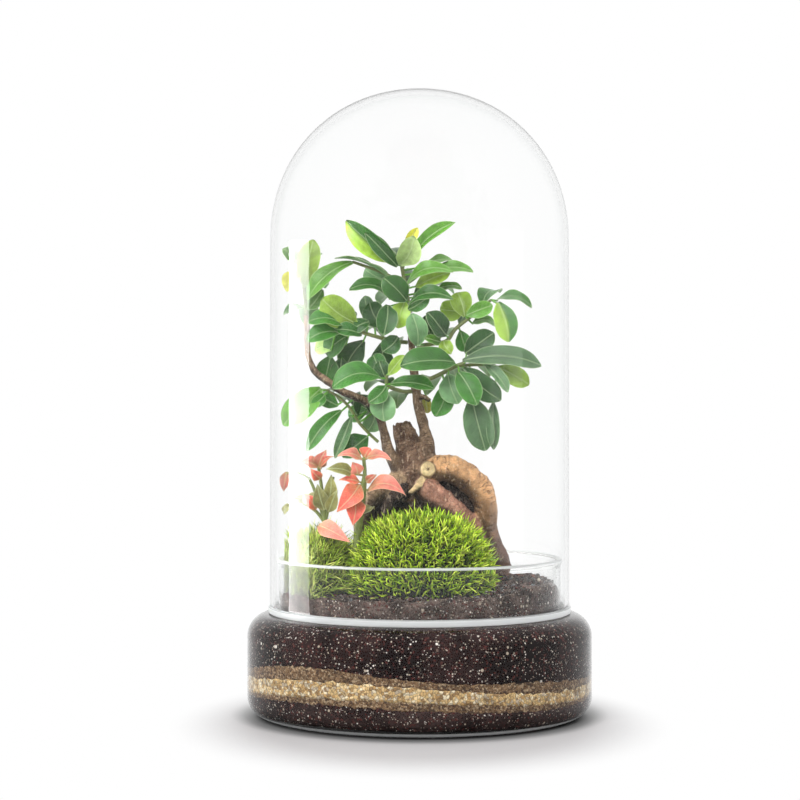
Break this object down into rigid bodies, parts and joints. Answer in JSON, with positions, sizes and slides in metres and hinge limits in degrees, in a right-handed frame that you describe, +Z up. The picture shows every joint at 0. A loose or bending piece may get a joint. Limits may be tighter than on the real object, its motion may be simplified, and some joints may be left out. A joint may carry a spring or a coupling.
{
  "type": "glass dome plant terrarium",
  "caption": "Round glass dish with layered soil and sand, planted with a fig bonsai, a coral-leaved plant and moss, under a tall glass dome that rests on its shoulder.",
  "frame": {"origin": "middle of the foot, on the surface that the dish stands on", "axes": "+Z up, +X to the right and +Y away as seen from the front, where the bright moss is"},
  "size_m": [0.185, 0.185, 0.3355],
  "materials": {
    "glass": "polished",
    "dark_soil": "matte",
    "brown_sand": "matte",
    "pale_sand": "matte",
    "bright_moss": "matte",
    "olive_moss": "matte",
    "bark": "matte",
    "fig_leaf": "satin",
    "coral_leaf": "satin"
  },
  "bodies": {
    "root": {"base_dish": "glass", "dome": "glass", "soil_bottom": "dark_soil", "sand_lower": "brown_sand", "sand_pale": "pale_sand", "sand_upper": "brown_sand", "soil_top": "dark_soil", "moss_main": "bright_moss", "moss_left": "olive_moss", "ficus_trunk": "bark", "ficus_spray_top": "fig_leaf", "ficus_spray_left_mid": "fig_leaf", "ficus_spray_left_tip": "fig_leaf", "ficus_spray_left_low": "fig_leaf", "ficus_spray_right": "fig_leaf", "ficus_spray_right_low": "fig_leaf", "ficus_spray_centre": "fig_leaf", "coral_plant_main": "coral_leaf", "coral_plant_left": "coral_leaf"}
  },
  "joints": []
}
